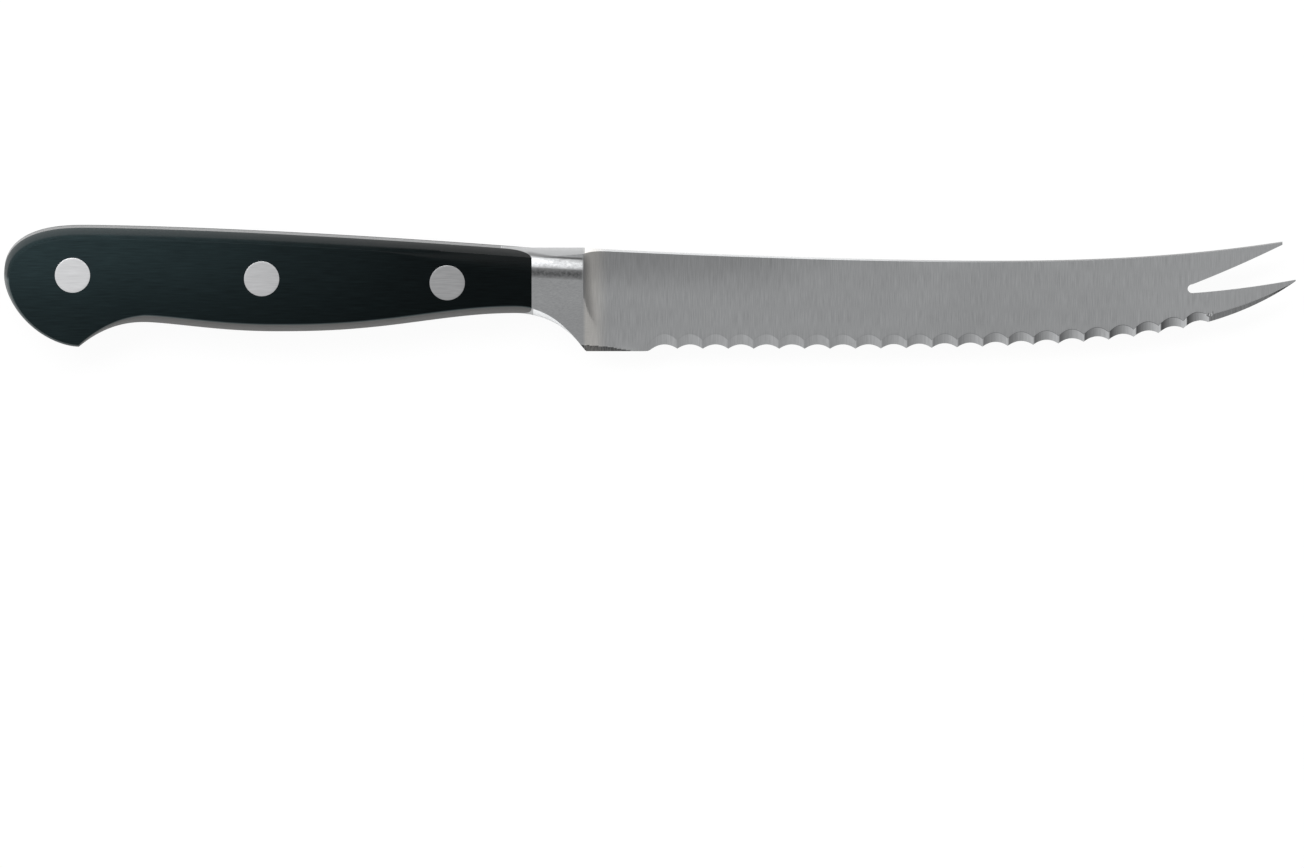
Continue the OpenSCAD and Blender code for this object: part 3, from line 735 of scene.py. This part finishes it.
def rivet_material(settings):
    """Rivet heads that were brushed flush along the handle, with a painted sheen that is paler
    towards the butt.
    """
    g = Graph("brushed_rivet")
    x = g.place()[0]
    along = g.brushing((250, 8000, 8000))
    # Painted sheen, paler towards the butt.
    fall = 1 - x.step(*RIVET_SHEEN_FADES)
    level = 0.27 + fall * 0.36 + (along - 0.5) * 0.2 * settings.brushing
    g.feed("Base Color", g.tint(level, (0.99, 0.995, 1.01)))
    g.feed("Metallic", 1.0)
    g.feed("Roughness", 0.36 + (along - 0.5) * 0.2)
    g.feed("Normal", g.relief(along, 0.15))
    return g.material


def floor_material():
    """Pale and matt, and nearly white to the camera alone, so that the shadow stays faint."""
    g = Graph("pale_floor")
    g.feed("Base Color", (0.9, 0.9, 0.9, 1))
    g.feed("Roughness", 0.9)
    g.feed("Specular IOR Level", 0.0)
    ray = g.add("ShaderNodeLightPath", output="Is Camera Ray")
    glow = g.add("ShaderNodeEmission", {}, {"Strength": 1.0})
    matt = Value(g, g.shader.outputs[0])
    mix = g.add("ShaderNodeMixShader", {}, [ray * FLOOR_GLOW, matt, glow])
    g.tree.links.new(mix.socket, g.tree.nodes["Material Output"].inputs["Surface"])
    return g.material


class KnifeSettings(bpy.types.PropertyGroup):
    """Looks of the knife and its stage."""

    brushing: FloatProperty(name="Brushing", description="Strength of the brushed grain",
                            default=1.0, min=0.0, max=3.0, subtype="FACTOR")
    ambient: FloatProperty(name="Ambient", description="Strength of the light from all round",
                           default=0.8, min=0.0, max=2.0, subtype="FACTOR")
    lamp: FloatProperty(name="Lamp", description="Power of the large lamp over the spine",
                        default=11.0, min=0.0, max=200.0, unit="POWER")


class KNIFE_OT_forging(bpy.types.Operator):
    """Builds the forging: tang, bolster, blade and prongs in one skin"""

    bl_idname = "knife.forging"
    bl_label = "Forging"

    def execute(self, context):
        """Sections along X of the body and each prong. The height of a side is the least of the
        blank, the facets and the wheel."""
        columns, beyond = forging_columns()
        root_end = SLOT_X + SLOT_R
        fork = np.concatenate([
            SLOT_X + SLOT_R * (1 - np.cos(np.linspace(0, np.pi / 2, 8))),
            beyond[beyond > root_end],
            np.linspace(max(beyond.max(), root_end) + 0.3, TIP_X, 46)])
        upper_end = UPPER_X - 0.05
        upper_fork = np.concatenate([fork[fork < upper_end], [upper_end]])
        body = forging_ring(columns, body_low, None, "guard", "crown")
        lower = forging_ring(fork, tooth_line,
                             lambda x: np.maximum(slot_edge(x, -1), tooth_line(x) + 0.05),
                             "edge", "wall")
        upper = forging_ring(upper_fork, lambda x: slot_edge(x, 1), None, "edge", "crown")
        make_piece("forging", [patch_of(body), patch_of(lower), patch_of(upper)],
                   steel_material(context.scene.knife), ["blade"])
        return {"FINISHED"}


class KNIFE_OT_scales(bpy.types.Operator):
    """Builds the two scales of the handle"""

    bl_idname = "knife.scales"
    bl_label = "Scales"

    def execute(self, context):
        """Outlines stacked from the tang to the cheek, with a crowned side and an eased edge."""
        material = scale_material(context.scene.knife)
        rise = np.linspace(0, 1, 14)
        levels = np.concatenate([CHEEK - FILLET * np.cos(rise * math.acos(EASE_DEPTH / FILLET)),
                                 CHEEK - EASE_DEPTH * (1 - np.linspace(0, 1, 11)[1:]) ** 2])
        points, faces, marks = patch_of(scale_rings(levels))
        mirrored = [face[::-1] for face in faces]
        for node, side, turned_faces in (("right_scale", 1, faces), ("left_scale", -1, mirrored)):
            patch = (points * np.array([1, 1, side]), turned_faces, marks)
            make_piece(node + "_skin", [patch], material, [node], 40)
        return {"FINISHED"}


class KNIFE_OT_rivets(bpy.types.Operator):
    """Builds the heads of the three rivets on both cheeks"""

    bl_idname = "knife.rivets"
    bl_label = "Rivets"

    def execute(self, context):
        """A profile turned round each rivet's axis: a flat face, a fine round rim and the side."""
        material = rivet_material(context.scene.knife)
        a = np.linspace(0, np.pi / 2, 6)
        profile = [(RIVET_R * u, RIVET_PROUD) for u in (0, 0.3, 0.6, 0.85)]
        profile += [(RIVET_R - RIVET_RIM + RIVET_RIM * math.sin(t),
                     RIVET_PROUD - RIVET_RIM + RIVET_RIM * math.cos(t)) for t in a]
        profile += [(RIVET_R, -RIVET_DEPTH), (0.0, -RIVET_DEPTH)]
        r, h = np.array(profile).T[:, :, None]
        t = np.linspace(0, 2 * np.pi, RIVET_TURNS + 1)[:-1]
        faces = grid_faces(len(profile), RIVET_TURNS)
        mirrored = [face[::-1] for face in faces]
        for key, (x, y) in RIVETS.items():
            for half, side, turned_faces in (("stem", 1, mirrored), ("tube", -1, faces)):
                points = np.stack([x + r * np.cos(t), y + r * np.sin(t),
                                   side * (CHEEK + h) + 0 * t], axis=-1).reshape(-1, 3)
                node = f"{key}_rivet_{half}"
                patch = (points, turned_faces, np.zeros(len(points)))
                make_piece(node + "_head", [patch], material, [node], 50)
        return {"FINISHED"}


class KNIFE_OT_stage(bpy.types.Operator):
    """Lays out the floor, the light and the camera"""

    bl_idname = "knife.stage"
    bl_label = "Stage"

    def execute(self, context):
        """A pale floor, level light from all round and one large lamp, seen from above."""
        scene, settings = context.scene, context.scene.knife
        mesh = bpy.data.meshes.new("floor")
        corners = [(-1, -1), (1, -1), (1, 1), (-1, 1)]
        mesh.from_pydata([(FLOOR_HALF * x, FLOOR_HALF * y, 0) for x, y in corners],
                         [], [(0, 1, 2, 3)])
        mesh.materials.append(floor_material())
        floor = bpy.data.objects.new("floor", mesh)
        floor.location.z = FLOOR_Z
        scene.collection.objects.link(floor)

        world = bpy.data.worlds.new("level_light")
        scene.world = world
        world.use_nodes = True
        background = world.node_tree.nodes["Background"]
        background.inputs["Color"].default_value = (1, 1, 1, 1)
        background.inputs["Strength"].default_value = settings.ambient

        lamp = bpy.data.lights.new("lamp", "AREA")
        lamp.shape = "RECTANGLE"
        lamp.size, lamp.size_y = LAMP_SIZE
        lamp.energy = settings.lamp
        over = bpy.data.objects.new("lamp", lamp)
        over.location = LAMP_PLACE
        over.rotation_euler = (-over.location).to_track_quat("-Z", "Y").to_euler()
        scene.collection.objects.link(over)

        camera = bpy.data.cameras.new("camera")
        camera.sensor_width = SENSOR_WIDTH
        camera.lens = SENSOR_WIDTH * CAMERA_DISTANCE / FRAME_WIDTH
        camera.clip_end = CAMERA_CLIP
        eye = bpy.data.objects.new("camera", camera)
        aim = Vector(to_frame(np.array([AIM_X, AIM_Y, 0.0])))
        back = Vector((0, math.sin(TILT), math.cos(TILT)))
        up = Vector((0, math.cos(TILT), -math.sin(TILT)))
        turn = Matrix((up.cross(back), up, back)).transposed().to_4x4()
        eye.matrix_world = Matrix.Translation(aim + back * CAMERA_DISTANCE) @ turn
        scene.collection.objects.link(eye)
        scene.camera = eye
        scene.view_settings.view_transform = "Standard"
        return {"FINISHED"}


class KNIFE_PT_panel(bpy.types.Panel):
    """Controls of the knife in the sidebar"""

    bl_label = "Knife"
    bl_space_type = "VIEW_3D"
    bl_region_type = "UI"
    bl_category = "Knife"

    def draw(self, context):
        """Lists the settings and the steps."""
        for key in ("brushing", "ambient", "lamp"):
            self.layout.prop(context.scene.knife, key)
        for step in STEPS:
            self.layout.operator(f"knife.{step}")


STEPS = ("forging", "scales", "rivets", "stage")
CLASSES = (KnifeSettings, KNIFE_OT_forging, KNIFE_OT_scales, KNIFE_OT_rivets, KNIFE_OT_stage,
           KNIFE_PT_panel)


def register():
    """Registers the classes and the scene's settings."""
    for cls in CLASSES:
        bpy.utils.register_class(cls)
    bpy.types.Scene.knife = PointerProperty(type=KnifeSettings)


def unregister():
    """Takes the settings and the classes away again."""
    del bpy.types.Scene.knife
    for cls in reversed(CLASSES):
        bpy.utils.unregister_class(cls)


def main():
    """Runs every step in order."""
    register()
    for step in STEPS:
        getattr(bpy.ops.knife, step)()


if __name__ == "__main__":
    main()
